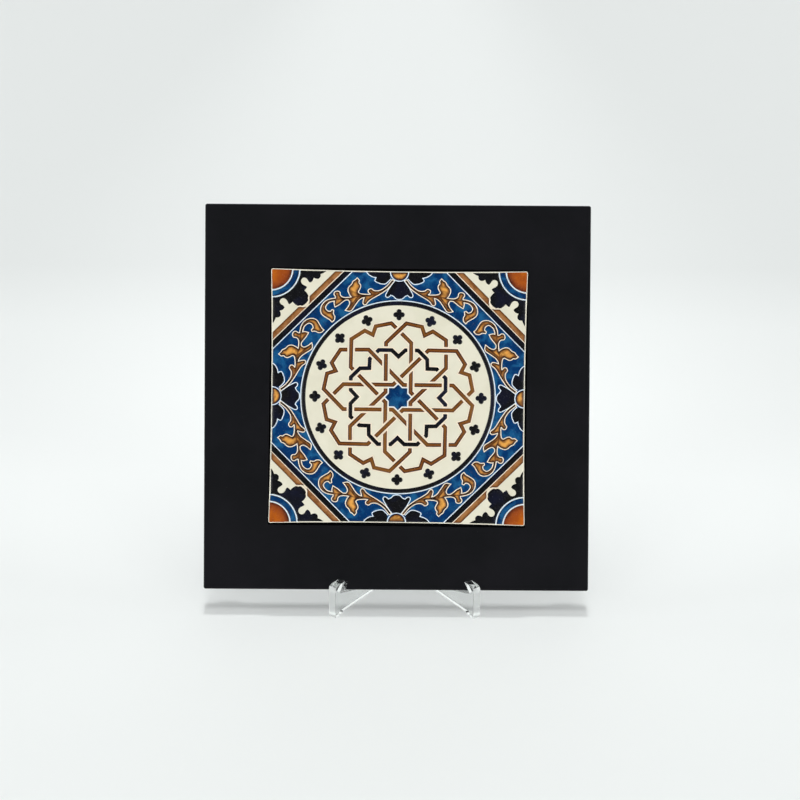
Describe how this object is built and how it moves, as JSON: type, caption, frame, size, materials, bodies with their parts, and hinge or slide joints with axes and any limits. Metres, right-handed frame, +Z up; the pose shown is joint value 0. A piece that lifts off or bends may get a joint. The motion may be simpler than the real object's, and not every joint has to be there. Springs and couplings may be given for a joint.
{
  "type": "framed tile",
  "caption": "Glazed relief tile with interlaced star ornament, set in a square black board that leans on a clear easel of crossed plates and lifts off it.",
  "frame": {"origin": "middle of the footprint on the floor under the easel", "axes": "+Z up, the tile's face looks towards -Y and upwards, +X to the right of a viewer in front"},
  "size_m": [0.2286, 0.1062, 0.2289],
  "materials": {
    "black_paint": "matt black paint on wood fibre board",
    "glaze": "glossy coloured glazes on pressed clay",
    "adhesive": "set construction adhesive",
    "felt": "black felt",
    "zinc_steel": "zinc plated sheet",
    "clear_acrylic": "clear, polished"
  },
  "bodies": {
    "easel": {"easel_left_plate": "clear_acrylic", "easel_right_plate": "clear_acrylic"},
    "framed_tile": {"board": "black_paint", "tile": "glaze", "glue_dab_1": "adhesive", "glue_dab_2": "adhesive", "glue_dab_3": "adhesive", "glue_dab_4": "adhesive", "glue_dab_5": "adhesive", "felt_pad_1": "felt", "felt_pad_2": "felt", "felt_pad_3": "felt", "felt_pad_4": "felt", "hanger": "zinc_steel", "hanger_nail_left": "zinc_steel", "hanger_nail_right": "zinc_steel"}
  },
  "joints": [
    {"name": "tile_lift", "type": "slide", "parent": "easel", "child": "framed_tile", "axis": [0, 0.342, 0.9397], "range_m": [0, 0.1]}
  ]
}
